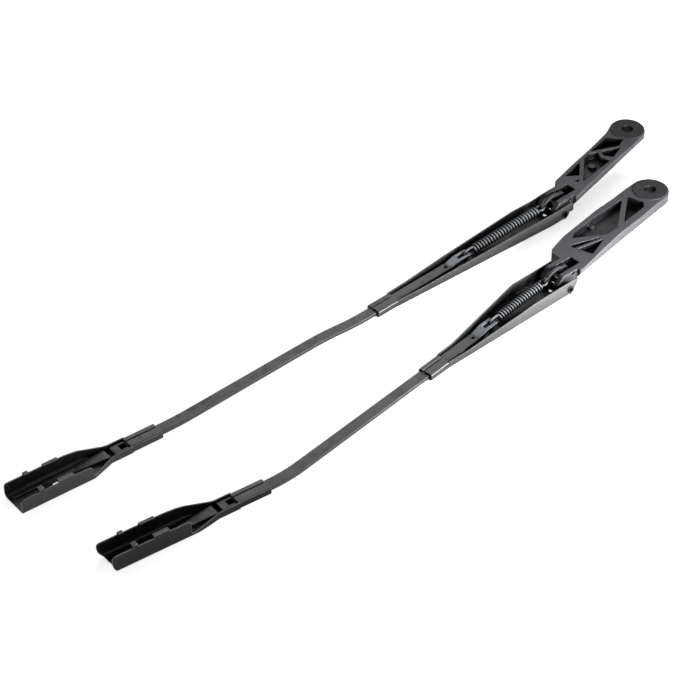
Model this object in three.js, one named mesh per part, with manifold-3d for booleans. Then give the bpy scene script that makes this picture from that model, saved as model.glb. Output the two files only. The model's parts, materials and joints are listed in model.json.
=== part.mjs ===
// A pair of windscreen wiper arms, a long one and a short one, lying on their backs with their undersides up.
// Millimetres, +Z up, +X from the blade claws towards the spindle heads, origin in the middle of the pair's base.
import * as THREE from 'three';
import { mergeVertices } from 'three/addons/utils/BufferGeometryUtils.js';
import Module from 'manifold-3d';

const wasm = await Module();
wasm.setup();

// Sizes that both arms share.
const SHEET = 1.1; // gauge of the stamped channel and claw
const GAP = 0.3; // clearance between pieces that are pressed or crimped together
const BAR_THICK = 3;
const BAR_LOW = SHEET + GAP; // underside of the flat bar, lying in the channel and in the claw
const CRIMP_HEIGHT = BAR_LOW + BAR_THICK + GAP + SHEET;
const CRIMP_HALF = 6.5;

const WALL_HEIGHT = 12.5; // channel wall at the hinge
const WALL_TIP = 9.2; // how far the walls reach past the hinge
const FLOOR_END = 1; // where the channel floor stops, so that it swings clear of the head

const HINGE_Z = 5.5;
const HINGE_PIN_R = 2.1;
const BUSH_R = 2.9;
const PIN_END = { stand: 0.35, flareR: 2.8, boreR: 1.6, boreDepth: 3.2, capR: 3.2 };
const HOOK_PIN = { x: 8.2, y: 0.4, z: 13.6, r: 1.3 };
const CHEEK_HALF = 9.4; // from the middle of the channel to the outside of a cheek
const SLOT_HALF = 4.7; // half the width of the slot in the head that the link runs in

const HEAD = { top: 16, low: 1, shoulder: 12.6, neck: 7.2, slotEnd: 19.5 };
const CHEEK_TIP = { x: -9.6, z: 9.2 }; // the foremost corner of a cheek
const POCKET_FLOOR = { deep: 7.4, shallow: 10 };
const CROWN = { edge: 12.6, turn: [0.85, 6.2], flat: 0.2 }; // heights, and shares of the crown's half width
const DISC = { r: 13.9, rise: 0.9 };
const SPINDLE_BORE_R = 4.8;
const NUT_RECESS = { r: 9.5, top: 6 };

const LINK = { length: 20.5, thick: 2.6, rise: 4.2, halfWidth: 1.1, eyeR: 2.7, endR: 2.7, endHole: 1.6 };
const EYE_Z = 5.6; // height of the strap on the bar that the spring hooks round
const WIRE_R = 0.87;
const COIL_R = 3.1; // to the middle of the wire
const SPRING_HOOK_R = 2.9;

const SLEEVE_HALF = 6.8; // half the width of the claw's sleeve
const CLAW_WALL_END = 60; // how far back the claw's side walls reach
const CLAW_WIDE_END = 61;
const CLAW_BEND_REACH = 16; // the bar's bend starts and ends this far from its corner, just behind the claw

// What differs between the two arms. Places are measured from the floor point under the arm's own hinge.

const LONG_ARM = {
  name: 'long',
  hinge: [236, 14.4],
  wallOuter: 12.4,
  farWall: [[-34, 14.1], [-113, 13.4], [-173, 11.3]],
  nearWall: [[-69, -8.4], [-173, -1.7]],
  wallLine: [[0, 12.5], [-69, 9.3], [-150, CRIMP_HEIGHT]],
  drain: [-7.8, 1.6],
  barEye: [-92.5, 4.8],
  barYaw: 0,
  crimp: [-101, -79.5],
  barBends: [[-214, 4.8, 12], [-242, 8.3, 14]],
  barWidths: [8.2, 9.6],
  claw: {
    at: [-527.8, 24.2], yaw: -5.85, right: -13.4, left: 9.9, wallRight: 12, wallLeft: 12.3, corners: [0.9, 5],
    lead: 0.6, toe: 0, rib: 3, post: 15, lip: 31.5, drain: [35.8, -1.5], ramp: 80.5, bar: 85, sleeve: [98, 125],
  },
  turns: 23,
  disc: [110.2, 22.9],
  bossR: 14.6,
  headYaw: 12,
  crownY: -0.5,
  crownHalf: 15,
  headNear: [[12.6, -12.4], [34, -7.2], [70, 0.4], [98, 5.4]],
  headFar: [[94, 31.4], [68, 25.2], [41, 19.7], [12.6, 13.2]],
  deepPockets: [
    [[26.5, 13.2], [49, 18.3], [35.6, 6.2]],
    [[66.5, 22.6], [89, 12.2], [98, 16], [90, 27.6]],
    [[72.5, 16.8], [88.5, 9.6], [74, 4.8], [70, 11.4]],
  ],
  shallowPockets: [[[32, -1.8], [56, 19.8], [63, 21.2], [69.4, 18], [66, 11.4], [68.2, 3.2]]],
  bosses: [[56.1, 10.9, 3.4]],
  blindHoles: [[29.1, 2.4, 1.6]],
};

const SHORT_ARM = {
  name: 'short',
  hinge: [168.6, -53],
  wallOuter: 14.5,
  farWall: [[-34, 14.8], [-114, 1.2], [-130, -0.5]],
  nearWall: [[-60, -14.4], [-130, -13.6]],
  wallLine: [[0, 12.5], [-36, 12.2], [-110, CRIMP_HEIGHT]],
  drain: [-7.8, -1.5],
  barEye: [-72, -1.6],
  barYaw: 5.4,
  crimp: [-79, -58],
  barBends: [],
  barWidths: [8.9, 9.6],
  claw: {
    at: [-449.6, -2.3], yaw: -7.8, right: -12, left: 9.8, wallRight: 15.6, wallLeft: 12.8, corners: [4, 4.5],
    lead: 5, toe: 1, rib: -0.5, post: 12, lip: 29.5, drain: [36, -4.5], ramp: 86.5, bar: 91, sleeve: [103.5, 131],
  },
  turns: 17,
  disc: [129, 21.2],
  bossR: 15.2,
  headYaw: 6,
  crownY: 3.6,
  crownHalf: 18,
  headNear: [[12.6, -13.4], [40.6, -7], [70, -1.4], [96, 1.6], [118, 5]],
  headFar: [[117, 35.8], [96.7, 33.6], [71, 32], [45.4, 29.1], [12.6, 20.2]],
  deepPockets: [
    [[110, 27.6], [113.4, 14.2], [109, 9.6], [83, 6.6]],
    [[29.8, 15.4], [59, 4.4], [30, 10.4]],
  ],
  shallowPockets: [
    [[38.5, 20.4], [45, 24.4], [71, 27], [103.5, 28], [74, 5.8], [62, 4.8]],
    [[31, 7.6], [55, 2.6], [35, -4.6]],
  ],
  bosses: [[64, 23.6, 3]],
  blindHoles: [],
};

const BLACK_COAT = { color: 0x232427, roughness: 0.5, metalness: 0.35 };
const CAST_COAT = { color: 0x2b2c30, roughness: 0.6, metalness: 0.3 };
const BAR_COAT = { color: 0x3a3c40, roughness: 0.55, metalness: 0.4 };
const SPRING_STEEL = { color: 0x85888c, roughness: 0.4, metalness: 0.85 };
const PIN_STEEL = { color: 0x5c5f63, roughness: 0.4, metalness: 0.85 };
const BUSH_PLASTIC = { color: 0x18191b, roughness: 0.6, metalness: 0 };

const radians = THREE.MathUtils.degToRad;

// --- joining and cutting -------------------------------------------------------------------------

function toSolid(geometry) {
  const bare = geometry.clone();
  bare.deleteAttribute('normal');
  bare.deleteAttribute('uv');
  const merged = mergeVertices(bare, 1e-4);
  const vertProperties = new Float32Array(merged.attributes.position.array);
  const triVerts = new Uint32Array(merged.index.array);
  return new wasm.Manifold(new wasm.Mesh({ numProp: 3, vertProperties, triVerts }));
}

function toGeometry(solid) {
  const { vertProperties, triVerts } = solid.getMesh();
  const geometry = new THREE.BufferGeometry();
  geometry.setAttribute('position', new THREE.BufferAttribute(new Float32Array(vertProperties), 3));
  geometry.setIndex(new THREE.BufferAttribute(new Uint32Array(triVerts), 1));
  const faceted = geometry.toNonIndexed();
  faceted.computeVertexNormals();
  return faceted;
}

function combine(operation, base, others) {
  return toGeometry(others.reduce((solid, other) => solid[operation](toSolid(other)), toSolid(base)));
}

const join = (base, ...others) => combine('add', base, others);
const cut = (base, ...others) => combine('subtract', base, others);
const common = (base, ...others) => combine('intersect', base, others);

// --- plain shapes --------------------------------------------------------------------------------

const outline = (points) => new THREE.Shape(points.map(([x, y]) => new THREE.Vector2(x, y)));

// A plan outline drawn in X and Y, standing from one height to another.
function prism(shape, low, high) {
  const drawn = Array.isArray(shape) ? outline(shape) : shape;
  const options = { depth: high - low, bevelEnabled: false, curveSegments: 8 };
  return new THREE.ExtrudeGeometry(drawn, options).translate(0, 0, low);
}

// A side outline drawn in X and Z, running across from one Y to another.
function sidePrism(shape, right, left) {
  return prism(shape, -left, -right).rotateX(Math.PI / 2);
}

// A section drawn in Y and Z, running from one X to another.
function sectionPrism(shape, start, end) {
  return prism(shape, start, end).rotateX(Math.PI / 2).rotateZ(Math.PI / 2);
}

function box(low, high) {
  const size = low.map((value, axis) => high[axis] - value);
  const middle = low.map((value, axis) => (high[axis] + value) / 2);
  return new THREE.BoxGeometry(...size).translate(...middle);
}

// A round rod along Y at a place in X and Z.
function rodAcross(radius, right, left, x, z, sides = 16) {
  const rod = new THREE.CylinderGeometry(radius, radius, left - right, sides);
  return rod.translate(x, (left + right) / 2, z);
}

function upright(radius, low, high, x, y, sides = 24) {
  const rod = new THREE.CylinderGeometry(radius, radius, high - low, sides);
  return rod.rotateX(Math.PI / 2).translate(x, y, (low + high) / 2);
}

// A profile of radius and height, turned round the Y axis.
function lathe(profile, sides) {
  return new THREE.LatheGeometry(profile.map(([x, y]) => new THREE.Vector2(x, y)), sides);
}

// Puts a geometry drawn along X from the origin onto a line that starts at a place and runs at a yaw.
const onLine = (geometry, [x, y], yaw) => geometry.rotateZ(radians(yaw)).translate(x, y, 0);

// --- the flat bar --------------------------------------------------------------------------------

function barPath(arm) {
  const [eyeX, eyeY] = arm.barEye;
  const claw = arm.claw;
  const clawWay = new THREE.Vector2(1, 0).rotateAround(new THREE.Vector2(), radians(claw.yaw));
  const inClawLine = (along) => new THREE.Vector2(...claw.at).addScaledVector(clawWay, along);
  const end = inClawLine(claw.bar);
  const root = new THREE.Vector2(-24, 0).rotateAround(new THREE.Vector2(), radians(arm.barYaw));
  root.add(new THREE.Vector2(eyeX, eyeY));
  const path = new THREE.Path().moveTo(root.x, root.y);
  const corners = arm.barBends.map(([x, y, reach]) => ({ at: new THREE.Vector2(x, y), reach }));
  corners.push({ at: inClawLine(claw.sleeve[1] + CLAW_BEND_REACH + 1), reach: CLAW_BEND_REACH });
  let last = root;
  corners.forEach(({ at, reach }, i) => {
    const next = i + 1 < corners.length ? corners[i + 1].at : end;
    const before = at.clone().addScaledVector(last.clone().sub(at).normalize(), reach);
    const after = at.clone().addScaledVector(next.clone().sub(at).normalize(), reach);
    path.lineTo(before.x, before.y);
    path.quadraticCurveTo(at.x, at.y, after.x, after.y);
    last = at;
  });
  return path.lineTo(end.x, end.y);
}

// The plan of the bar: its path widened to both sides, from the narrow channel end to the wide claw end.
function barPlan(arm) {
  const points = barPath(arm).getPoints(6);
  const [narrow, wide] = arm.barWidths;
  const span = points[0].x - points[points.length - 1].x;
  const side = (sign) => points.map((point, i) => {
    const back = points[Math.max(i - 1, 0)];
    const on = points[Math.min(i + 1, points.length - 1)];
    const way = on.clone().sub(back).normalize();
    const share = (points[0].x - point.x) / span;
    const reach = sign * THREE.MathUtils.lerp(narrow, wide, share) / 2;
    return [point.x - way.y * reach, point.y + way.x * reach];
  });
  return [...side(1), ...side(-1).reverse()];
}

// The end of the bar inside the channel: it steps up to a slotted eye whose last strap holds the spring.
function barTongue(arm) {
  const strap = 1.3;
  const strapThick = 1.2;
  const high = EYE_Z + strapThick;
  const low = EYE_Z - strapThick;
  const barTop = BAR_LOW + BAR_THICK;
  const profile = [
    [strap, low], [strap, high], [-11, high], [-20, barTop], [-26, barTop],
    [-26, BAR_LOW], [-19, BAR_LOW], [-10, low],
  ];
  const half = arm.barWidths[0] / 2;
  const tongue = sidePrism(profile, -half, half);
  const slot = box([-10.5, -1.7, 0], [-strap, 1.7, 12]);
  return onLine(cut(tongue, slot), arm.barEye, arm.barYaw);
}

function flatBar(arm) {
  const bar = prism(barPlan(arm), BAR_LOW, BAR_LOW + BAR_THICK);
  const jigHole = onLine(upright(1.4, 0, 9, -23.4, 0, 12), arm.barEye, arm.barYaw);
  const latchHole = inClaw(arm, box([arm.claw.bar + 6.5, -2.4, 0], [arm.claw.bar + 12.2, 2.4, 9]));
  return cut(join(bar, barTongue(arm)), jigHole, latchHole);
}

// --- the stamped channel -------------------------------------------------------------------------

function channelPlan(arm, thickness, start, end) {
  const wall = arm.wallOuter - thickness;
  const far = arm.farWall.map(([x, y]) => [x, y - thickness]);
  const near = arm.nearWall.map(([x, y]) => [x, y + thickness]);
  return [[end, wall], [start, wall], ...far, ...near.reverse(), [start, -wall], [end, -wall]];
}

function channelSide(arm) {
  const line = arm.wallLine;
  const back = arm.wallLine[line.length - 1][0] - 60;
  const side = new THREE.Shape().moveTo(back, 0).lineTo(0, 0);
  side.absarc(0, HINGE_Z, HINGE_Z, -Math.PI / 2, radians(-12), false);
  side.lineTo(WALL_TIP, WALL_HEIGHT - 1.5).lineTo(WALL_TIP - 1, WALL_HEIGHT);
  line.forEach(([x, z]) => side.lineTo(x, z));
  return side.lineTo(back, CRIMP_HEIGHT);
}

// Sheet folded shut round the bar, from one X to another, with rounded shoulders and a seam along its top.
function crimpedSleeve([start, end], barWidth, half) {
  const top = CRIMP_HEIGHT;
  const seam = 1.9;
  const section = [[-half, 0.9], [0.9 - half, 0], [half - 0.9, 0], [half, 0.9], [half, top - 1.5],
    [half - 0.6, top - 0.5], [half - 1.7, top], [seam + 1.1, top], [seam + 0.4, top - 0.6],
    [seam - 0.4, top - 0.6], [seam - 1.1, top], [1.7 - half, top], [0.6 - half, top - 0.5], [-half, top - 1.5]];
  const passageHalf = barWidth / 2 + GAP;
  const passage = box([start - 1, -passageHalf, SHEET], [end + 1, passageHalf, top - SHEET]);
  const slit = box([start - 1, seam - 0.4, SHEET], [end + 1, seam + 0.4, top + 1]);
  return cut(sectionPrism(outline(section), start, end), passage, slit);
}

function channel(arm) {
  const straight = -14;
  const plan = prism(channelPlan(arm, 0, straight, WALL_TIP), 0, WALL_HEIGHT + 1);
  const block = common(plan, sidePrism(channelSide(arm), -30, 30));
  const cavity = prism(channelPlan(arm, SHEET, straight, WALL_TIP + 1), SHEET, WALL_HEIGHT + 2);
  const inner = arm.wallOuter - SHEET;
  const hingeNotch = box([FLOOR_END, -inner, -1], [WALL_TIP + 1, inner, WALL_HEIGHT]);
  const pinHoles = rodAcross(HINGE_PIN_R + GAP, -30, 30, 0, HINGE_Z);
  const drain = upright(1.6, -1, SHEET + 1, ...arm.drain, 16);
  const sleeve = onLine(crimpedSleeve(arm.crimp, arm.barWidths[0] + 0.3, CRIMP_HALF), arm.barEye, arm.barYaw);
  return join(cut(block, cavity, hingeNotch, pinHoles, drain), sleeve);
}

// --- the blade claw ------------------------------------------------------------------------------

// Puts a geometry drawn with the claw's front at the origin and its sleeve along +X where the claw is.
const inClaw = (arm, geometry) => onLine(geometry, arm.claw.at, arm.claw.yaw);

// The side outline of a wall: the front edge leans forward to its top, and both its corners are rounded.
function clawWall({ lead, toe, sleeve }, height, backOutline) {
  const side = new THREE.Shape().moveTo(toe, 0).lineTo(sleeve[0] + 1, 0).lineTo(sleeve[0] + 1, CRIMP_HEIGHT);
  backOutline.forEach(([x, z]) => side.lineTo(x, z));
  side.lineTo(3 - lead, height).quadraticCurveTo(-lead, height, -lead, height - 3);
  return side.quadraticCurveTo(-lead, height / 5, toe, 0);
}

// The far wall slopes down to the neck. The near one ends in a rounded drop, behind which the floor is bare.
function clawSides(claw) {
  const { ramp, wallRight, wallLeft } = claw;
  const foot = [[ramp + 4, CRIMP_HEIGHT], [CLAW_WALL_END + 5, 3.2], [CLAW_WALL_END + 1.5, 3.4], [CLAW_WALL_END, 5]];
  const stepped = clawWall(claw, wallRight, [
    ...foot, [CLAW_WALL_END, wallRight - 2.5], [CLAW_WALL_END - 0.9, wallRight - 0.8], [CLAW_WALL_END - 3, wallRight]]);
  const sloped = clawWall(claw, wallLeft, [[ramp + 4, CRIMP_HEIGHT], [ramp - 20, wallLeft - 1.4], [50, wallLeft]]);
  return join(sidePrism(sloped, 0, 30), sidePrism(stepped, -30, 0));
}

// The claw's hollow or solid form: its plan, and a section with rounded lower corners.
function clawForm({ right, left, corners, ramp, sleeve }, inset, start, end) {
  const slim = SLEEVE_HALF - inset;
  const plan = [[start, right + inset], [CLAW_WIDE_END, right + inset], [ramp, -slim], [end, -slim],
    [end, slim], [ramp, slim], [CLAW_WIDE_END, left - inset], [start, left - inset]];
  const [rightR, leftR] = corners.map((radius) => Math.max(radius - inset, 0.3));
  const top = 30;
  const section = new THREE.Shape().moveTo(right + inset, top).lineTo(right + inset, inset + rightR);
  section.quadraticCurveTo(right + inset, inset, right + inset + rightR, inset).lineTo(left - inset - leftR, inset);
  section.quadraticCurveTo(left - inset, inset, left - inset, inset + leftR).lineTo(left - inset, top);
  return common(prism(plan, inset, top), sectionPrism(section, start, Math.max(end, sleeve[0])));
}

// The stamped rib along the claw's floor, which widens and climbs into a ramp before the bar's end.
function clawRib({ rib, ramp }) {
  const foot = 50;
  const top = BAR_LOW + BAR_THICK;
  const ridge = sectionPrism(outline([[rib - 2.2, 0.5], [rib + 2.2, 0.5], [rib + 1.2, SHEET + 1.6],
    [rib - 1.2, SHEET + 1.6]]), 3, foot + 4);
  const rampPlan = [[foot, rib - 2.2], [ramp, -4.9], [ramp, 4.9], [foot, rib + 2.2]];
  const rampSide = [[foot, 0.5], [ramp, 0.5], [ramp, top], [ramp - 3, top], [foot, SHEET + 0.6]];
  return join(ridge, common(prism(rampPlan, 0, 9), sidePrism(rampSide, -9, 9)));
}

// On each wall a short post and a long lip stand up and are bent inwards over the blade.
function clawLips({ post, lip, right, left, wallRight, wallLeft }) {
  const bent = (from, to, outer, wall, rise, reach) => {
    const inward = -Math.sign(outer);
    const across = (first, second) => [outer + inward * first, outer + inward * second].sort((a, b) => a - b);
    const [standLow, standHigh] = across(0, SHEET);
    const [tabLow, tabHigh] = across(0.3, reach);
    const stand = box([from, standLow, wall - 2], [to, standHigh, wall + rise - 0.4]);
    return join(stand, box([from, tabLow, wall + rise - 1.1], [to, tabHigh, wall + rise]));
  };
  return [[right, wallRight], [left, wallLeft]].flatMap(([outer, wall]) => [
    bent(post, post + 4, outer, wall, 2.6, 3.8),
    bent(lip, lip + 12.5, outer, wall, 2, 3.2),
  ]);
}

function bladeClaw(arm) {
  const { claw } = arm;
  const [drainX, drainY] = claw.drain;
  const [sleeveStart] = claw.sleeve;
  const block = common(clawForm(claw, 0, -claw.lead - 1, sleeveStart + 1), clawSides(claw));
  const cavity = clawForm(claw, SHEET, -claw.lead - 2, sleeveStart + 3);
  const shell = join(cut(block, cavity), clawRib(claw), ...clawLips(claw));
  const drain = box([drainX - 2.4, drainY - 1.9, -1], [drainX + 2.4, drainY + 1.9, SHEET + 3]);
  const fold = crimpedSleeve(claw.sleeve, arm.barWidths[1], SLEEVE_HALF);
  return inClaw(arm, join(cut(shell, drain), fold));
}

// --- the spindle head ----------------------------------------------------------------------------

const boreAcross = (r, x, z) => rodAcross(r, -20, 20, x, z);

function headPlan(arm) {
  const [discX, discY] = arm.disc;
  const turn = radians(arm.headYaw);
  const [start, ...near] = arm.headNear;
  const vectors = (points) => points.map(([x, y]) => new THREE.Vector2(x, y));
  const plan = new THREE.Shape().moveTo(...start);
  plan.splineThru(vectors(near));
  plan.absarc(discX, discY, arm.bossR, turn - Math.PI / 2, turn + Math.PI / 2, false);
  const [first, ...far] = arm.headFar;
  plan.lineTo(...first);
  plan.splineThru(vectors(far));
  return plan;
}

// The casting's body: flat on the underside, crowned on the side that lies down.
function headBody(arm) {
  const { top, low } = HEAD;
  const [discX, discY] = arm.disc;
  const yaw = Math.atan2(discY - arm.crownY, discX);
  const half = arm.crownHalf;
  const flat = half * CROWN.flat;
  const turnY = half * CROWN.turn[0];
  const turnZ = CROWN.turn[1];
  const crown = new THREE.Shape().moveTo(-half, top).lineTo(-half, CROWN.edge);
  crown.quadraticCurveTo(-turnY, turnZ, -flat, low).lineTo(flat, low);
  crown.quadraticCurveTo(turnY, turnZ, half, CROWN.edge).lineTo(half, top);
  const loaf = prism(crown, 0, 160).rotateX(Math.PI / 2).rotateZ(Math.PI / 2 + yaw);
  const [cornerX, cornerY] = arm.headFar[arm.headFar.length - 1];
  const corner = [[cornerX - 1, cornerY - 3], [cornerX + 5, cornerY + 2], [cornerX - 1, cornerY + 3]];
  const body = common(prism(headPlan(arm), low, top), loaf.translate(0, arm.crownY, 0));
  return cut(body, prism(corner, low - 1, top + 1));
}

// The two cheeks that stand in the channel, side by side, and the neck that joins them to the body.
function headTongue() {
  const bossR = HINGE_Z - SHEET - 0.4;
  const { top, low, neck, shoulder } = HEAD;
  const root = shoulder + 1;
  const side = new THREE.Shape().moveTo(root, low).lineTo(root, top);
  side.lineTo(-2.5, top).lineTo(-4.2, top - 1.2).lineTo(CHEEK_TIP.x, CHEEK_TIP.z);
  side.lineTo(-bossR, HINGE_Z);
  side.absarc(0, HINGE_Z, bossR, Math.PI, 2 * Math.PI, false);
  side.lineTo(neck, HINGE_Z).lineTo(neck, low);
  return sidePrism(side, -CHEEK_HALF, CHEEK_HALF);
}

function headCasting(arm) {
  const { top, low, neck, slotEnd } = HEAD;
  const [discX, discY] = arm.disc;
  const disc = upright(DISC.r, top - 1, top + DISC.rise, discX, discY, 40);
  const solid = join(headBody(arm), headTongue(), disc);
  const slot = [
    box([-30, -SLOT_HALF, -1], [neck - 1, SLOT_HALF, 30]),
    box([neck - 2, -SLOT_HALF, 4], [slotEnd, SLOT_HALF, 30]),
  ];
  const deep = arm.deepPockets.map((points) => prism(points, POCKET_FLOOR.deep, 30));
  const shallow = arm.shallowPockets.map((points) => prism(points, POCKET_FLOOR.shallow, 30));
  const blind = arm.blindHoles.map(([x, y, r]) => upright(r, 8, 30, x, y, 12));
  const bores = [
    boreAcross(BUSH_R + GAP, 0, HINGE_Z),
    boreAcross(HOOK_PIN.r + GAP, HOOK_PIN.x, HOOK_PIN.z),
    upright(SPINDLE_BORE_R, low - 2, top + 3, discX, discY),
    upright(NUT_RECESS.r, low - 2, NUT_RECESS.top, discX, discY, 36),
  ];
  const bosses = arm.bosses.map(([x, y, r]) => upright(r, 8, 12.5, x, y, 16));
  return join(cut(solid, ...slot, ...deep, ...shallow, ...blind, ...bores), ...bosses);
}

// --- pins, bushes and the hook link --------------------------------------------------------------

// A pin across the channel: its hollow near end is flared outside the wall, its far end has a rounded cap.
function hingePin(arm) {
  const { stand, flareR, boreR, boreDepth, capR } = PIN_END;
  const shank = arm.wallOuter + stand;
  const near = shank + 0.5;
  const profile = [[0, boreDepth - near], [boreR, boreDepth - near], [boreR, -near], [flareR, -near], [flareR, -shank],
    [HINGE_PIN_R, -shank], [HINGE_PIN_R, shank], [capR, shank], [capR, shank + 0.4], [capR - 0.9, shank + 1.1],
    [0, shank + 1.4]];
  return lathe(profile, 16).translate(0, 0, HINGE_Z);
}

// A flanged bush in one cheek. Its collar fills the gap between the cheek and the channel wall.
function hingeBush(arm, sign) {
  const inner = HINGE_PIN_R + GAP;
  const root = SLOT_HALF + 0.6;
  const collar = [CHEEK_HALF + GAP, arm.wallOuter - SHEET - GAP];
  const profile = [[inner, root], [BUSH_R, root], [BUSH_R, collar[0]], [BUSH_R + 0.9, collar[0]],
    [BUSH_R + 0.9, collar[1]], [inner, collar[1]], [inner, root]];
  const bush = lathe(profile, 16);
  if (sign < 0) bush.rotateZ(Math.PI);
  return bush.translate(0, 0, HINGE_Z);
}

function hookPin() {
  const half = CHEEK_HALF - 0.6;
  return rodAcross(HOOK_PIN.r, -half, half, HOOK_PIN.x, HOOK_PIN.z, 18);
}

// The straight way from the bar's eye to the hook pin, on which the spring pulls.
function pull(arm) {
  const eye = new THREE.Vector3(arm.barEye[0], arm.barEye[1], EYE_Z);
  const pin = new THREE.Vector3(HOOK_PIN.x, HOOK_PIN.y, HOOK_PIN.z);
  const fall = Math.atan2(pin.z - eye.z, pin.x - eye.x);
  const linkEnd = new THREE.Vector3(
    pin.x - LINK.length * Math.cos(fall), pin.y, pin.z - LINK.length * Math.sin(fall));
  return { eye, pin, fall, linkEnd };
}

// A flat C that hangs on the hook pin, arches over the hinge pin and ends in an eye for the spring.
function hookLink(arm) {
  const { length, thick, rise, halfWidth, eyeR, endR, endHole } = LINK;
  const sagR = (length ** 2 / 4 + rise ** 2) / (2 * rise);
  const middle = [-length / 2, rise - sagR];
  const spread = Math.asin(length / 2 / sagR);
  const [fromAngle, toAngle] = [Math.PI / 2 - spread, Math.PI / 2 + spread];
  const arch = new THREE.Shape().absarc(...middle, sagR + halfWidth, fromAngle, toAngle, false);
  arch.absarc(...middle, sagR - halfWidth, toAngle, fromAngle, true);
  const half = thick / 2;
  const pinEye = rodAcross(eyeR, -half, half, 0, 0, 20);
  const springEye = rodAcross(endR, -half, half, -length, 0, 18);
  const holes = [rodAcross(HOOK_PIN.r + GAP, -9, 9, 0, 0, 20), rodAcross(endHole, -9, 9, -length, 0, 16)];
  const flat = cut(join(sidePrism(arch, -half, half), pinEye, springEye), ...holes);
  const { pin, fall } = pull(arm);
  return flat.rotateY(-fall).translate(pin.x, pin.y, pin.z);
}

// --- the tension spring --------------------------------------------------------------------------

// Hook round the bar's strap, close coils, and a hook lying flat through the link's eye.
function springPoints(arm) {
  const { eye, linkEnd } = pull(arm);
  const along = linkEnd.clone().sub(eye).normalize();
  const side = new THREE.Vector3(-along.y, along.x, 0).normalize();
  const up = along.clone().cross(side);
  const length = eye.distanceTo(linkEnd);
  const place = (a, s, u) => eye.clone().addScaledVector(along, a).addScaledVector(side, s).addScaledVector(up, u);
  const points = [];
  for (let angle = 300; angle >= 105; angle -= 25) {
    const turn = radians(angle);
    points.push(place(SPRING_HOOK_R * Math.cos(turn), 0, SPRING_HOOK_R * Math.sin(turn)));
  }
  const coilStart = SPRING_HOOK_R + 3.4;
  const coilEnd = length - 2 * SPRING_HOOK_R - 2.1;
  const stepsPerTurn = 7;
  const steps = (arm.turns + 0.25) * stepsPerTurn;
  for (let step = 0; step <= steps; step += 1) {
    const turn = Math.PI / 2 + (2 * Math.PI * step) / stepsPerTurn;
    const far = THREE.MathUtils.lerp(coilStart, coilEnd, step / steps);
    points.push(place(far, COIL_R * Math.cos(turn), COIL_R * Math.sin(turn)));
  }
  for (let angle = 150; angle >= -120; angle -= 27) {
    const turn = radians(angle);
    const reach = length - SPRING_HOOK_R;
    points.push(place(reach + SPRING_HOOK_R * Math.cos(turn), -SPRING_HOOK_R * Math.sin(turn), 0));
  }
  return points;
}

function tensionSpring(arm) {
  const points = springPoints(arm);
  const wire = new THREE.CatmullRomCurve3(points);
  wire.arcLengthDivisions = points.length * 8;
  const section = new THREE.Shape().absarc(0, 0, WIRE_R, 0, 2 * Math.PI, false);
  return new THREE.ExtrudeGeometry(section, {
    steps: points.length, curveSegments: 3, bevelEnabled: false, extrudePath: wire });
}

// --- the assembly --------------------------------------------------------------------------------

function piece(name, geometry, finish) {
  const mesh = new THREE.Mesh(geometry, new THREE.MeshStandardMaterial(finish));
  mesh.name = name;
  return mesh;
}

function wiperArm(arm) {
  const group = new THREE.Group();
  const add = (name, geometry, finish) => group.add(piece(`${arm.name}_${name}`, geometry, finish));
  add('head_casting', headCasting(arm), CAST_COAT);
  add('hinge_bush_far', hingeBush(arm, 1), BUSH_PLASTIC);
  add('hinge_bush_near', hingeBush(arm, -1), BUSH_PLASTIC);
  add('hinge_pin', hingePin(arm), PIN_STEEL);
  add('hook_pin', hookPin(), PIN_STEEL);
  add('hook_link', hookLink(arm), PIN_STEEL);
  add('tension_spring', tensionSpring(arm), SPRING_STEEL);
  add('channel', channel(arm), BLACK_COAT);
  add('flat_bar', flatBar(arm), BAR_COAT);
  add('blade_claw', bladeClaw(arm), BLACK_COAT);
  group.position.set(...arm.hinge, 0);
  return group;
}

const pair = new THREE.Group();
pair.add(wiperArm(LONG_ARM), wiperArm(SHORT_ARM));
const extent = new THREE.Box3().setFromObject(pair, true);
const middle = extent.getCenter(new THREE.Vector3());
pair.position.set(-middle.x, -middle.y, -extent.min.z);

const wiperArms = new THREE.Group();
wiperArms.add(pair);

export default wiperArms;
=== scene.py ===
"""Finished looks for two windscreen wiper arms that lie on their backs with their undersides up."""

import json
from math import atan2, ceil, cos, pi, radians, sin

import bmesh
import bpy
from bpy.props import FloatProperty, FloatVectorProperty, IntProperty, PointerProperty
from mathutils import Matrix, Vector


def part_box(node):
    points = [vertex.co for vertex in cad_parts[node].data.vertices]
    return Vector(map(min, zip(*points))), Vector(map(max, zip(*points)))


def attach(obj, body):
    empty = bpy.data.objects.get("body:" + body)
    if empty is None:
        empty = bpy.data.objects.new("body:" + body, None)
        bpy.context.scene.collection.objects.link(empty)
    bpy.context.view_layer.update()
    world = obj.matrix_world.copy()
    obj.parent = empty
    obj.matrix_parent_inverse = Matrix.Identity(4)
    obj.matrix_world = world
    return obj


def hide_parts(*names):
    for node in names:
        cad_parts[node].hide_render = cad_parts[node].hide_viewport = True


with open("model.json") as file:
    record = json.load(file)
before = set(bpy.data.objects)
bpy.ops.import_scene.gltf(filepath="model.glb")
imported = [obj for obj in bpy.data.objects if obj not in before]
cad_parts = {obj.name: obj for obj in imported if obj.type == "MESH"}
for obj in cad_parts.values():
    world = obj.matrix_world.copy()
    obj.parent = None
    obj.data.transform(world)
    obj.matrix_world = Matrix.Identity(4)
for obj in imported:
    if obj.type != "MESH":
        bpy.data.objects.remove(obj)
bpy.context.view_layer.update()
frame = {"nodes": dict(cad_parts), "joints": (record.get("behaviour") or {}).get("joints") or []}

bl_info = {
    "name": "Wiper Arm Set",
    "version": (1, 0, 0),
    "blender": (4, 5, 0),
    "location": "View3D > Sidebar > Wiper",
    "description": "Builds the castings, channels, bars, claws, springs and coats of a set of wiper arms",
    "category": "Object",
}

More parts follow.
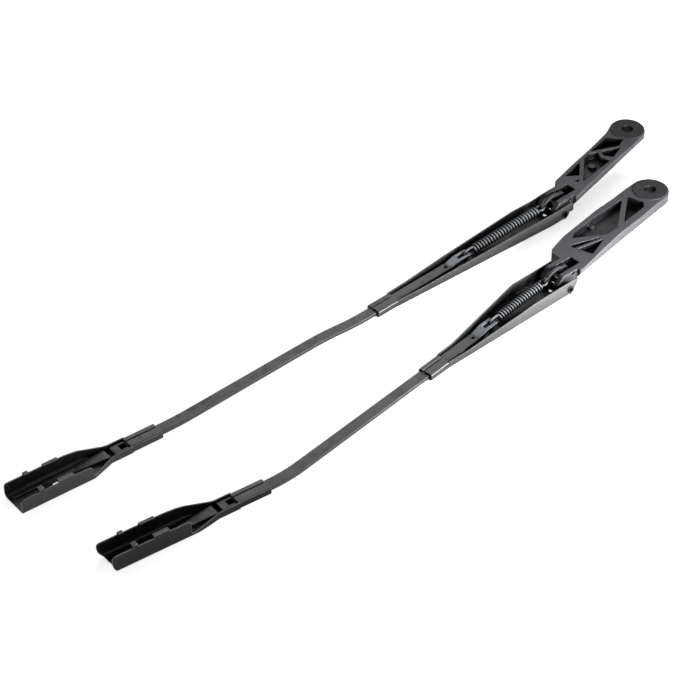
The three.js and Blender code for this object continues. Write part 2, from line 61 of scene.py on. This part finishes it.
MM = 0.001

# The coils of each arm's spring.
TURNS = {"long": 23, "short": 17}
ARMS = tuple(TURNS)

# Gauge of the pressed sheet, and the length from which an inside edge is a fold of a channel.
SHEET = 1.1 * MM
FOLD_LENGTH = 15 * MM

# How far below a casting's highest point a face still belongs to the raised disc.
DISC_DEPTH = 0.35 * MM

# Where the stepped end of a bar starts, measured back from the place that the spring hooks on.
TONGUE_LENGTH = 21 * MM

# A face of a claw gets the painted light of a lit top when it is this high and its normal points this far
# up.
CLAW_LIT_TOP_HEIGHT = 1.6 * MM
CLAW_LIT_TOP_NORMAL = 0.75

# The hook link, from its pin to its eye, and the spring's two hooks.
LINK_LENGTH = 20.5 * MM
HOOK_RADIUS = 2.9 * MM
BAR_HOOK_LEAD = 3.4 * MM
LINK_HOOK_LEAD = 2.1 * MM
POINTS_PER_TURN = 18

# The hinge pin: its parts' radii, the thickness of its near end and the depth of the bore there.
SHANK_RADIUS = 2.1
FLARE_RADIUS = 2.8
PIN_BORE_RADIUS = 1.8
PIN_BORE_DEPTH = 3.2
FLARE_THICK = 0.5
CAP_RADIUS = 3.2
HOOK_PIN_CHAMFER = 0.3 * MM


# --- sizes and colours that a user would change ----------------------------------------------------

def length(name, description, millimetres):
    """A length property whose default is given in millimetres."""
    return FloatProperty(name=name, description=description, default=millimetres * MM, min=0,
                         subtype="DISTANCE", unit="LENGTH")


def angle(name, description, degrees):
    """An angle property whose default is given in degrees."""
    return FloatProperty(name=name, description=description, default=radians(degrees), subtype="ANGLE",
                         unit="ROTATION")


def strength(name, description, default):
    """A light's strength or power."""
    return FloatProperty(name=name, description=description, default=default, min=0)


def colour(name, description, red, green, blue):
    """A colour property."""
    return FloatVectorProperty(name=name, description=description, default=(red, green, blue, 1), size=4,
                               min=0, max=1, subtype="COLOR")


class WiperSizes(bpy.types.PropertyGroup):
    """Roundings and wire sizes."""

    cast_cell: length("Casting cell", "Cell of the mesh that rounds the castings", 0.42)
    cast_rounds: IntProperty(name="Casting rounds", description="Smoothing passes over the castings",
                             default=5)
    bend: length("Channel bend", "Outer radius of the bend between floor and wall", 1.7)
    sheet_edge: length("Sheet edge", "Rounding of the edges of pressed sheet", 0.22)
    bar_edge: length("Bar edge", "Rounding of the rolled bar's edges", 0.45)
    wire: length("Spring wire", "Radius of the spring wire", 0.87)
    coil: length("Coil", "Radius of the coils, to the middle of the wire", 3.05)
    link_edge: length("Link edge", "Rounding of the hook link's edges", 0.35)


class WiperColours(bpy.types.PropertyGroup):
    """Colours of the coats and metals."""

    channel: colour("Channel coat", "Satin coat on the pressed channels", 0.055, 0.055, 0.057)
    claw: colour("Claw coat", "Coat on the blade claws", 0.012, 0.012, 0.014)
    # Painted highlight: a lighter colour on the claws' rounded edges stands for light catching them.
    claw_edge_highlight: colour("Claw edges", "Coat worn thin along the edges of the claws", 0.2, 0.2, 0.215)
    # Painted light: a lighter colour on the claws' upward faces, where light falls.
    claw_lit_top: colour("Claw tops", "Coat on the faces of the claws that look up", 0.034, 0.036, 0.041)
    cast: colour("Casting coat", "Coat on the head castings", 0.03, 0.031, 0.035)
    disc: colour("Disc face", "Matt face of the raised disc round the spindle", 0.014, 0.014, 0.016)
    bar: colour("Bar coat", "Thin coat on the flat bars", 0.042, 0.044, 0.048)
    tongue: colour("Bar tongue", "Coat on the stepped end of the bars", 0.15, 0.16, 0.19)
    wire: colour("Spring wire", "Drawn spring wire", 0.13, 0.137, 0.15)
    link: colour("Link steel", "Flat steel of the hook links", 0.04, 0.041, 0.045)
    pin: colour("Pin steel", "Dark steel of the pins", 0.012, 0.012, 0.013)
    bush: colour("Bush plastic", "Bearing plastic of the hinge bushes", 0.11, 0.11, 0.115)
    floor: colour("Floor", "Pale floor", 0.9, 0.9, 0.9)


class WiperStage(bpy.types.PropertyGroup):
    """Camera and lights."""

    azimuth: angle("Azimuth", "Camera's way round the arms", -43.5)
    elevation: angle("Elevation", "Camera's angle above the floor", 39)
    view: angle("Field of view", "Camera's whole angle of view", 13)
    distance: length("Distance", "From the camera to the point that it looks at", 2304)
    sky: strength("Sky", "Strength of the even light from all round", 0.3)
    glow: strength("Floor glow", "Light that the lit paper gives off", 0.75)
    key: strength("Key light", "Power of the low light beside the heads, in watts", 4.6)
    key_size: length("Key size", "Side of the low light", 120)
    box: strength("Soft box", "Power of the wide light behind the arms, in watts", 10)
    box_size: length("Box size", "Side of the wide light", 1300)


# --- places that the frame gives --------------------------------------------------------------------

def joint_place(name):
    """The place of a hinge joint in the frame."""
    return Vector(next(joint["pos_m"] for joint in frame["joints"] if joint["name"] == name))


# --- mesh helpers -----------------------------------------------------------------------------------

def cad_copy(node):
    """A merged copy of a CAD node, with the triangles of each flat face joined up."""
    bm = bmesh.new()
    bm.from_mesh(frame["nodes"][node].data)
    bmesh.ops.remove_doubles(bm, verts=bm.verts, dist=0.002 * MM)
    bmesh.ops.dissolve_limit(bm, angle_limit=radians(0.5), verts=bm.verts, edges=bm.edges)
    return bm


def sharp_edges(bm, least=35, keep=lambda edge: True):
    """Edges whose two faces turn by more than the least angle in degrees."""
    return [edge for edge in bm.edges
            if len(edge.link_faces) == 2 and edge.calc_face_angle(0) > radians(least) and keep(edge)]


def round_edges(bm, edges, radius, segments):
    """Rounds edges with an arc of a radius and returns the new faces."""
    made = bmesh.ops.bevel(bm, geom=edges, offset=radius, offset_type="OFFSET", segments=segments,
                           profile=0.5, affect="EDGES", clamp_overlap=False, material=-1)
    return made["faces"]


def lengthwise(edge):
    """Whether an edge runs more along X than across."""
    first, second = (vert.co for vert in edge.verts)
    way = second - first
    return abs(way.x) > 0.8 * way.length


def at_height(edge, height):
    """Whether both ends of an edge lie at a height."""
    return all(abs(vert.co.z - height) < 0.03 * MM for vert in edge.verts)


def new_object(name, mesh):
    """Links a new object that holds a mesh."""
    found = bpy.data.objects.new(name, mesh)
    bpy.context.scene.collection.objects.link(found)
    return found


def shape_of(bm, name):
    """Turns a bmesh into a smooth-shaded object whose flat faces stay flat."""
    mesh = bpy.data.meshes.new(name)
    bm.to_mesh(mesh)
    bm.free()
    mesh.shade_smooth()
    mesh.set_sharp_from_angle(angle=radians(50))
    found = new_object(name, mesh)
    flat = found.modifiers.new("flat_faces", "WEIGHTED_NORMAL")
    flat.keep_sharp = True
    return found


def apply_modifiers(found):
    """Replaces an object's mesh by what its modifiers make of it."""
    bpy.context.view_layer.update()
    made = bpy.data.meshes.new_from_object(found.evaluated_get(bpy.context.evaluated_depsgraph_get()))
    found.modifiers.clear()
    found.data = made


def place(found, body, slot, coats, *nodes):
    """Gives a piece its coats and its body, and hides the CAD nodes that it stands for."""
    for material in coats:
        found.data.materials.append(material)
    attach(found, body)
    if nodes:
        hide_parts(*nodes)
    return found


def wire(name, points, radius, sides=3):
    """A round wire along points, closed at both ends, as a mesh."""
    curve = bpy.data.curves.new(name, "CURVE")
    curve.dimensions = "3D"
    curve.bevel_depth = radius
    curve.bevel_resolution = sides
    curve.use_fill_caps = True
    curve.resolution_u = 2
    spline = curve.splines.new("NURBS")
    spline.points.add(len(points) - 1)
    for point, target in zip(spline.points, points):
        point.co = (*target, 1)
    spline.order_u = 4
    spline.use_endpoint_u = True
    source = new_object(name + "_route", curve)
    bpy.context.view_layer.update()
    mesh = bpy.data.meshes.new_from_object(source.evaluated_get(bpy.context.evaluated_depsgraph_get()))
    bpy.data.objects.remove(source)
    bm = bmesh.new()
    bm.from_mesh(mesh)
    bmesh.ops.remove_doubles(bm, verts=bm.verts, dist=0.005 * MM)
    bmesh.ops.recalc_face_normals(bm, faces=bm.faces)
    return shape_of(bm, name)


def lathe(name, profile, centre):
    """A profile of radius and place along Y, turned round an axis along Y through a centre."""
    bm = bmesh.new()
    ring = [bm.verts.new((radius, along, 0)) for radius, along in profile]
    edges = [bm.edges.new(pair) for pair in zip(ring, ring[1:])]
    bmesh.ops.spin(bm, geom=ring + edges, cent=(0, 0, 0), axis=(0, 1, 0), dvec=(0, 0, 0), angle=2 * pi,
                   steps=40, use_merge=True)
    bmesh.ops.remove_doubles(bm, verts=bm.verts, dist=0.002 * MM)
    bmesh.ops.recalc_face_normals(bm, faces=bm.faces)
    bmesh.ops.translate(bm, verts=bm.verts, vec=centre)
    return shape_of(bm, name)


# --- materials --------------------------------------------------------------------------------------

def surface_group():
    """The shared node group: grain, mottle, dust and painted shade that darkens sheltered corners, for
    every coat and metal.
    """
    found = bpy.data.node_groups.get("Worn Surface With Painted Shade")
    if found:
        return found
    group = bpy.data.node_groups.new("Worn Surface With Painted Shade", "ShaderNodeTree")
    inputs = (
        ("Colour", "NodeSocketColor", (0.05, 0.05, 0.05, 1)),
        ("Dust Colour", "NodeSocketColor", (0.2, 0.2, 0.2, 1)),
        ("Roughness", "NodeSocketFloat", 0.4),
        ("Roughness Spread", "NodeSocketFloat", 0.1),
        ("Grain Scale", "NodeSocketFloat", 2500.0),
        ("Grain Depth", "NodeSocketFloat", 0.1),
        ("Mottle", "NodeSocketFloat", 0.2),
        ("Dust", "NodeSocketFloat", 0.05),
    )
    for name, kind, value in inputs:
        socket = group.interface.new_socket(name, in_out="INPUT", socket_type=kind)
        socket.default_value = value
    for name, kind in (("Colour", "NodeSocketColor"), ("Roughness", "NodeSocketFloat"),
                       ("Normal", "NodeSocketVector")):
        group.interface.new_socket(name, in_out="OUTPUT", socket_type=kind)
    nodes, links = group.nodes, group.links
    given = nodes.new("NodeGroupInput")
    result = nodes.new("NodeGroupOutput")
    place_on = nodes.new("ShaderNodeTexCoord").outputs["Object"]

    def noise(scale, detail):
        found = nodes.new("ShaderNodeTexNoise")
        found.inputs["Detail"].default_value = detail
        links.new(place_on, found.inputs["Vector"])
        if isinstance(scale, float):
            found.inputs["Scale"].default_value = scale
        else:
            links.new(scale, found.inputs["Scale"])
        return found.outputs["Fac"]

    def math(operation, first, second, clamp=False):
        found = nodes.new("ShaderNodeMath")
        found.operation = operation
        found.use_clamp = clamp
        for socket, value in zip(found.inputs, (first, second)):
            if isinstance(value, (int, float)):
                socket.default_value = value
            else:
                links.new(value, socket)
        return found.outputs[0]

    def spread(value, low, high):
        found = nodes.new("ShaderNodeMapRange")
        found.interpolation_type = "SMOOTHSTEP"
        links.new(value, found.inputs["Value"])
        found.inputs["From Min"].default_value = low
        found.inputs["From Max"].default_value = high
        return found.outputs["Result"]

    def mix(kind, factor, first, second):
        found = nodes.new("ShaderNodeMix")
        found.data_type = "RGBA"
        found.blend_type = kind
        if isinstance(factor, float):
            found.inputs["Factor"].default_value = factor
        else:
            links.new(factor, found.inputs["Factor"])
        links.new(first, found.inputs["A"])
        if isinstance(second, tuple):
            found.inputs["B"].default_value = second
        else:
            links.new(second, found.inputs["B"])
        return found.outputs["Result"]

    # Painted shade: ambient occlusion darkens the colour in corners, creases and recesses, where shade
    # falls.
    painted_corner_shade_ao = nodes.new("ShaderNodeAmbientOcclusion")
    painted_corner_shade_ao.inputs["Distance"].default_value = 22 * MM
    painted_corner_shade_ao.samples = 8
    painted_corner_shade = math("POWER", painted_corner_shade_ao.outputs["AO"], 2.2)
    grain = noise(given.outputs["Grain Scale"], 3.0)
    patches = spread(noise(55.0, 5.0), 0.35, 0.65)
    specks = spread(noise(900.0, 2.0), 0.66, 0.74)
    smears = spread(noise(160.0, 4.0), 0.45, 0.7)
    mottled = mix("MULTIPLY", math("MULTIPLY", patches, given.outputs["Mottle"]), given.outputs["Colour"],
                  (0.45, 0.45, 0.47, 1))
    dust = math("MULTIPLY", math("ADD", math("MULTIPLY", specks, 0.7), math("MULTIPLY", smears, 0.5)),
                given.outputs["Dust"], clamp=True)
    dusted = mix("MIX", dust, mottled, given.outputs["Dust Colour"])
    shade = nodes.new("ShaderNodeCombineColor")
    for channel in ("Red", "Green", "Blue"):
        links.new(painted_corner_shade, shade.inputs[channel])
    links.new(mix("MULTIPLY", 1.0, dusted, shade.outputs["Color"]), result.inputs["Colour"])
    uneven = math("MULTIPLY", math("SUBTRACT", smears, 0.5), given.outputs["Roughness Spread"])
    links.new(math("ADD", given.outputs["Roughness"], uneven, clamp=True), result.inputs["Roughness"])
    bump = nodes.new("ShaderNodeBump")
    bump.inputs["Distance"].default_value = 0.05 * MM
    links.new(given.outputs["Grain Depth"], bump.inputs["Strength"])
    links.new(grain, bump.inputs["Height"])
    links.new(bump.outputs["Normal"], result.inputs["Normal"])
    return group


def surface(name, base, roughness, metallic=0.0, spread=0.12, scale=2500.0, depth=0.3, mottle=0.3,
            dust=0.06, shine=0.5):
    """A coat or metal built round the shared surface group."""
    found = bpy.data.materials.get(f"finished_{name}")
    if found:
        return found
    material = bpy.data.materials.new(f"finished_{name}")
    material.use_nodes = True
    nodes, links = material.node_tree.nodes, material.node_tree.links
    shader = nodes["Principled BSDF"]
    group = nodes.new("ShaderNodeGroup")
    group.node_tree = surface_group()
    values = {"Colour": base, "Roughness": roughness, "Roughness Spread": spread, "Grain Scale": scale,
              "Grain Depth": depth, "Mottle": mottle, "Dust": dust}
    for socket, value in values.items():
        group.inputs[socket].default_value = value
    links.new(group.outputs["Colour"], shader.inputs["Base Color"])
    links.new(group.outputs["Roughness"], shader.inputs["Roughness"])
    links.new(group.outputs["Normal"], shader.inputs["Normal"])
    shader.inputs["Metallic"].default_value = metallic
    shader.inputs["Specular IOR Level"].default_value = shine
    return material


def channel_coat(colours):
    """Satin electro-coat on pressed steel."""
    return surface("channel_coat", colours.channel, 0.42, metallic=0.2, spread=0.1, scale=1800.0,
                   depth=0.12, shine=0.35)


def claw_coat(colours, arm):
    """Deeper black coat of the claws, the short arm's being the duller."""
    shine = {"long": 0.4, "short": 0.14}[arm]
    return surface(f"{arm}_claw_coat", colours.claw, 0.46, spread=0.14, scale=2600.0, depth=0.25,
                   mottle=0.2, dust=0.03, shine=shine)


def claw_edge_highlight_coat(colours):
    """Painted highlight: a lighter coat along the claws' rounded edges, standing for light that catches
    them.
    """
    return surface("claw_edge_highlight_coat", colours.claw_edge_highlight, 0.42, metallic=0.3, scale=2600.0, depth=0.2,
                   mottle=0.4)


def claw_lit_top_coat(colours):
    """Painted light: a lighter coat on the claws' faces that look up, where light falls, with a little
    dust.
    """
    return surface("claw_lit_top_coat", colours.claw_lit_top, 0.4, scale=2600.0, depth=0.25, mottle=0.3, dust=0.08)


def cast_coat(colours):
    """Fine-grained coat on the castings."""
    return surface("cast_coat", colours.cast, 0.5, spread=0.12, scale=1500.0, depth=0.6, shine=0.28)


def disc_coat(colours):
    """Matt face of the disc that the spindle's shoulder rests on."""
    return surface("disc_coat", colours.disc, 0.6, spread=0.1, scale=1500.0, depth=0.5, shine=0.22)


def bar_coat(colours):
    """Thin matt coat on the bars."""
    return surface("bar_coat", colours.bar, 0.46, metallic=0.15, spread=0.16, scale=1200.0, depth=0.25)


def tongue_coat(colours):
    """Paler coat on the stepped end of a bar, inside the channel."""
    return surface("tongue_coat", colours.tongue, 0.45, metallic=0.2, spread=0.16, scale=1200.0, depth=0.25)


def wire_steel(colours):
    """Drawn wire."""
    return surface("wire_steel", colours.wire, 0.58, spread=0.15, scale=3000.0, depth=0.15, shine=0.25)


def link_steel(colours):
    """Plated flat steel."""
    return surface("link_steel", colours.link, 0.6, spread=0.15, scale=900.0, depth=0.2, shine=0.2)


def pin_steel(colours):
    """Dark pin steel."""
    return surface("pin_steel", colours.pin, 0.6, spread=0.1, scale=2500.0, depth=0.15, shine=0.12)


def bush_plastic(colours):
    """Bearing plastic."""
    return surface("bush_plastic", colours.bush, 0.5, spread=0.1, scale=3500.0, depth=0.3, mottle=0.1)


# --- pieces -----------------------------------------------------------------------------------------

class WIPER_OT_heads(bpy.types.Operator):
    """Rounds the head castings as a die and a coat leave them"""

    bl_idname = "wiper.heads"
    bl_label = "Head Castings"

    def execute(self, context):
        sizes = context.scene.wiper_sizes
        for arm in ARMS:
            node = f"{arm}_head_casting"
            casting = shape_of(cad_copy(node), f"{arm}_head")
            casting.modifiers.clear()
            skin = casting.modifiers.new("skin", "REMESH")
            skin.mode = "VOXEL"
            skin.voxel_size = sizes.cast_cell
            skin.use_smooth_shade = True
            rounds = casting.modifiers.new("rounds", "SMOOTH")
            rounds.factor = 0.5
            rounds.iterations = sizes.cast_rounds
            apply_modifiers(casting)
            _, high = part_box(node)
            for face in casting.data.polygons:
                face.material_index = int(face.center.z > high.z - DISC_DEPTH)
            colours = context.scene.wiper_colours
            place(casting, f"{arm}_head", "cast_coat", (cast_coat(colours), disc_coat(colours)), node)
        return {"FINISHED"}


class WIPER_OT_channels(bpy.types.Operator):
    """Folds the channels with round bends and softened edges"""

    bl_idname = "wiper.channels"
    bl_label = "Channels"

    def execute(self, context):
        sizes = context.scene.wiper_sizes
        for arm in ARMS:
            node = f"{arm}_channel"
            bm = cad_copy(node)
            outer = sharp_edges(bm, 60, lambda edge: at_height(edge, 0) and lengthwise(edge))
            round_edges(bm, outer, sizes.bend, 5)
            inner = sharp_edges(bm, 60, lambda edge: at_height(edge, SHEET) and lengthwise(edge)
                                and edge.calc_length() > FOLD_LENGTH)
            round_edges(bm, inner, sizes.bend - SHEET, 3)
            round_edges(bm, sharp_edges(bm), sizes.sheet_edge, 2)
            place(shape_of(bm, f"{arm}_channel_shell"), f"{arm}_arm", "black_coat",
                  (channel_coat(context.scene.wiper_colours),), node)
        return {"FINISHED"}


class WIPER_OT_bars(bpy.types.Operator):
    """Rolls the edges of the flat bars"""

    bl_idname = "wiper.bars"
    bl_label = "Flat Bars"

    def execute(self, context):
        sizes = context.scene.wiper_sizes
        for arm in ARMS:
            node = f"{arm}_flat_bar"
            bm = cad_copy(node)
            round_edges(bm, sharp_edges(bm), sizes.bar_edge, 3)
            step = joint_place(f"{arm}_spring_swing").x - TONGUE_LENGTH
            for face in bm.faces:
                face.material_index = int(face.calc_center_median().x > step)
            colours = context.scene.wiper_colours
            place(shape_of(bm, f"{arm}_bar"), f"{arm}_arm", "bar_coat",
                  (bar_coat(colours), tongue_coat(colours)), node)
        return {"FINISHED"}


class WIPER_OT_claws(bpy.types.Operator):
    """Folds the blade claws with round bends and softened lips"""

    bl_idname = "wiper.claws"
    bl_label = "Blade Claws"

    def execute(self, context):
        sizes = context.scene.wiper_sizes
        for arm in ARMS:
            node = f"{arm}_blade_claw"
            bm = cad_copy(node)
            # Painted light: raised faces that look up get the lighter colour of a lit top.
            for face in bm.faces:
                raised = face.calc_center_median().z > CLAW_LIT_TOP_HEIGHT
                face.material_index = 2 if raised and face.normal.z > CLAW_LIT_TOP_NORMAL else 0
            # Painted highlight: the faces of the rounded edges get the lighter edge colour.
            for face in round_edges(bm, sharp_edges(bm, 32), sizes.sheet_edge, 2):
                face.material_index = 1
            colours = context.scene.wiper_colours
            place(shape_of(bm, f"{arm}_claw"), f"{arm}_arm", "black_coat",
                  (claw_coat(colours, arm), claw_edge_highlight_coat(colours), claw_lit_top_coat(colours)), node)
        return {"FINISHED"}


def spring_frame(arm):
    """Where the spring starts and ends, and its three directions."""
    eye = joint_place(f"{arm}_spring_swing")
    pin = joint_place(f"{arm}_link_swing")
    fall = atan2(pin.z - eye.z, pin.x - eye.x)
    link_end = pin - LINK_LENGTH * Vector((cos(fall), 0, sin(fall)))
    along = (link_end - eye).normalized()
    side = Vector((-along.y, along.x, 0)).normalized()
    return eye, (link_end - eye).length, along, side, along.cross(side)


class WIPER_OT_springs(bpy.types.Operator):
    """Winds the tension springs and bends their hooks"""

    bl_idname = "wiper.springs"
    bl_label = "Tension Springs"

    def execute(self, context):
        sizes = context.scene.wiper_sizes
        steel = wire_steel(context.scene.wiper_colours)
        for arm in ARMS:
            eye, reach, along, side, up = spring_frame(arm)

            def spot(far, across, high):
                return eye + along * far + side * across + up * high

            def round_hook(turn):
                return HOOK_RADIUS * cos(radians(turn)), HOOK_RADIUS * sin(radians(turn))

            bar_hook = []
            for turn in range(300, 104, -15):
                far, high = round_hook(turn)
                bar_hook.append(spot(far, 0, high))
            link_hook = []
            for turn in range(150, -121, -15):
                far, across = round_hook(turn)
                link_hook.append(spot(reach - HOOK_RADIUS + far, -across, 0))

            start = HOOK_RADIUS + BAR_HOOK_LEAD
            end = reach - 2 * HOOK_RADIUS - LINK_HOOK_LEAD
            steps = ceil((TURNS[arm] + 0.25) * POINTS_PER_TURN)

            def coil(step):
                turn = pi / 2 + 2 * pi * step / POINTS_PER_TURN
                far = start + (end - start) * step / steps
                return spot(far, sizes.coil * cos(turn), sizes.coil * sin(turn))

            coils = [coil(step) for step in range(steps + 1)]
            body = wire(f"{arm}_spring_coils", bar_hook + coils, sizes.wire)
            place(body, f"{arm}_spring", "spring_steel", (steel,), f"{arm}_tension_spring")
            hook = wire(f"{arm}_spring_hook", coils[-POINTS_PER_TURN // 2:] + link_hook, sizes.wire)
            place(hook, f"{arm}_link", "spring_steel", (steel,))
        return {"FINISHED"}


class WIPER_OT_links(bpy.types.Operator):
    """Softens the edges of the flat hook links"""

    bl_idname = "wiper.links"
    bl_label = "Hook Links"

    def execute(self, context):
        sizes = context.scene.wiper_sizes
        for arm in ARMS:
            node = f"{arm}_hook_link"
            bm = cad_copy(node)
            round_edges(bm, sharp_edges(bm), sizes.link_edge, 3)
            place(shape_of(bm, f"{arm}_link_plate"), f"{arm}_link", "link_steel",
                  (link_steel(context.scene.wiper_colours),), node)
        return {"FINISHED"}


def hinge_pin_profile(near):
    """Radius and place along Y of a hinge pin whose near end is a number of millimetres from its middle."""
    shank = near - FLARE_THICK
    bore = [(0, PIN_BORE_DEPTH - near), (PIN_BORE_RADIUS - 0.15, PIN_BORE_DEPTH - near),
            (PIN_BORE_RADIUS, PIN_BORE_DEPTH - 0.15 - near), (PIN_BORE_RADIUS, 0.15 - near)]
    flare = [(PIN_BORE_RADIUS + 0.15, -near), (FLARE_RADIUS - 0.2, -near), (FLARE_RADIUS, 0.2 - near),
             (FLARE_RADIUS, -shank)]
    rod = [(SHANK_RADIUS, -shank), (SHANK_RADIUS, shank)]
    cap = [(CAP_RADIUS, shank), (CAP_RADIUS, shank + 0.3), (CAP_RADIUS - 0.18, shank + 0.62),
           (CAP_RADIUS - 0.8, shank + 1), (CAP_RADIUS - 1.9, shank + 1.3), (0, shank + 1.4)]
    return [(radius * MM, along * MM) for radius, along in bore + flare + rod + cap]


def hook_pin_profile(half, radius):
    """Radius and place along Y of a plain pin with a chamfer at each end."""
    end = [(0, half), (radius - HOOK_PIN_CHAMFER, half), (radius, half - HOOK_PIN_CHAMFER)]
    return end + [(radius, -along) for radius, along in reversed(end)]


class WIPER_OT_pins(bpy.types.Operator):
    """Turns the hinge pins, hollow at one end and capped at the other, and the hook pins"""

    bl_idname = "wiper.pins"
    bl_label = "Pins"

    def execute(self, context):
        steel = pin_steel(context.scene.wiper_colours)
        for arm in ARMS:
            low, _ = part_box(f"{arm}_hinge_pin")
            centre = joint_place(f"{arm}_fold")
            pin = lathe(f"{arm}_pin", hinge_pin_profile((centre.y - low.y) / MM), centre)
            place(pin, f"{arm}_arm", "pin_steel", (steel,), f"{arm}_hinge_pin")
            low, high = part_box(f"{arm}_hook_pin")
            profile = hook_pin_profile((high.y - low.y) / 2, (high.z - low.z) / 2)
            pin = lathe(f"{arm}_hook_rod", profile, (low + high) / 2)
            place(pin, f"{arm}_head", "pin_steel", (steel,), f"{arm}_hook_pin")
        return {"FINISHED"}


class WIPER_OT_bushes(bpy.types.Operator):
    """Softens the edges of the hinge bushes"""

    bl_idname = "wiper.bushes"
    bl_label = "Hinge Bushes"

    def execute(self, context):
        plastic = bush_plastic(context.scene.wiper_colours)
        for arm in ARMS:
            for side in ("far", "near"):
                node = f"{arm}_hinge_bush_{side}"
                bm = cad_copy(node)
                round_edges(bm, sharp_edges(bm, 60), 0.12 * MM, 2)
                place(shape_of(bm, f"{arm}_bush_{side}"), f"{arm}_head", "bush_plastic", (plastic,), node)
        return {"FINISHED"}


def paper_floor(colours, stage):
    """The pale paper that the arms lie on, which gives off a little light."""
    bm = bmesh.new()
    bmesh.ops.create_grid(bm, x_segments=1, y_segments=1, size=6)
    bmesh.ops.translate(bm, verts=bm.verts, vec=(0, 0, -0.05 * MM))
    mesh = bpy.data.meshes.new("floor")
    bm.to_mesh(mesh)
    bm.free()
    paper = bpy.data.materials.new("floor_paper")
    paper.use_nodes = True
    shader = paper.node_tree.nodes["Principled BSDF"]
    shader.inputs["Base Color"].default_value = colours.floor
    shader.inputs["Roughness"].default_value = 0.9
    shader.inputs["Emission Color"].default_value = colours.floor
    shader.inputs["Emission Strength"].default_value = stage.glow
    mesh.materials.append(paper)
    new_object("floor", mesh)


def soft_sky(stage):
    """Even white light from all round."""
    world = bpy.data.worlds.new("soft_sky")
    world.use_nodes = True
    background = world.node_tree.nodes["Background"]
    background.inputs["Strength"].default_value = stage.sky
    background.inputs["Color"].default_value = (1, 1, 1, 1)
    return world


def area_light(name, place_at, aim, size, power):
    """A square light at a place, turned towards another."""
    light = bpy.data.lights.new(name, "AREA")
    light.size = size
    light.energy = power
    found = new_object(name, light)
    found.location = place_at
    found.rotation_euler = (aim - place_at).to_track_quat("-Z", "Y").to_euler()


def stage_camera(stage, target):
    """The camera, on a line of sight that ends at the target."""
    camera = bpy.data.cameras.new("camera")
    camera.sensor_width = 36
    camera.angle = stage.view
    camera.clip_end = 20
    found = new_object("camera", camera)
    flat = cos(stage.elevation)
    away = Vector((sin(stage.azimuth) * flat, -cos(stage.azimuth) * flat, sin(stage.elevation)))
    found.location = target + away * stage.distance
    found.rotation_euler = (-away).to_track_quat("-Z", "Y").to_euler()
    return found


class WIPER_OT_stage(bpy.types.Operator):
    """Sets the pale floor, the soft lights and the camera"""

    bl_idname = "wiper.stage"
    bl_label = "Stage"

    def execute(self, context):
        scene = context.scene
        stage = scene.wiper_stage
        paper_floor(scene.wiper_colours, stage)
        scene.world = soft_sky(stage)
        hinge = joint_place("long_fold")
        target = hinge - Vector((0.236, 0.0144, hinge.z))
        area_light("low_key", hinge + Vector((0, -0.28, 0.065)), hinge + Vector((-0.06, -0.04, 0)),
                   stage.key_size, stage.key)
        area_light("soft_box", target + Vector((1.07, 1.13, 1.26)), target, stage.box_size, stage.box)
        scene.camera = stage_camera(stage, target)
        scene.view_settings.view_transform = "Standard"
        return {"FINISHED"}


class WIPER_PT_panel(bpy.types.Panel):
    """Lists the pieces and the stage in the sidebar"""

    bl_idname = "WIPER_PT_panel"
    bl_label = "Wiper Arm Set"
    bl_space_type = "VIEW_3D"
    bl_region_type = "UI"
    bl_category = "Wiper"

    def draw(self, context):
        for group in (context.scene.wiper_sizes, context.scene.wiper_colours, context.scene.wiper_stage):
            for name in type(group).__annotations__:
                self.layout.prop(group, name)
        for operator in OPERATORS:
            self.layout.operator(operator.bl_idname)


OPERATORS = (WIPER_OT_heads, WIPER_OT_channels, WIPER_OT_bars, WIPER_OT_claws, WIPER_OT_springs,
             WIPER_OT_links, WIPER_OT_pins, WIPER_OT_bushes, WIPER_OT_stage)
CLASSES = (WiperSizes, WiperColours, WiperStage, *OPERATORS, WIPER_PT_panel)


def register():
    for found in CLASSES:
        bpy.utils.register_class(found)
    bpy.types.Scene.wiper_sizes = PointerProperty(type=WiperSizes)
    bpy.types.Scene.wiper_colours = PointerProperty(type=WiperColours)
    bpy.types.Scene.wiper_stage = PointerProperty(type=WiperStage)


def unregister():
    del bpy.types.Scene.wiper_stage
    del bpy.types.Scene.wiper_colours
    del bpy.types.Scene.wiper_sizes
    for found in reversed(CLASSES):
        bpy.utils.unregister_class(found)


def main():
    register()
    bpy.ops.wiper.stage()
    bpy.ops.wiper.heads()
    bpy.ops.wiper.channels()
    bpy.ops.wiper.bars()
    bpy.ops.wiper.claws()
    bpy.ops.wiper.springs()
    bpy.ops.wiper.links()
    bpy.ops.wiper.pins()
    bpy.ops.wiper.bushes()


if __name__ == "__main__":
    main()
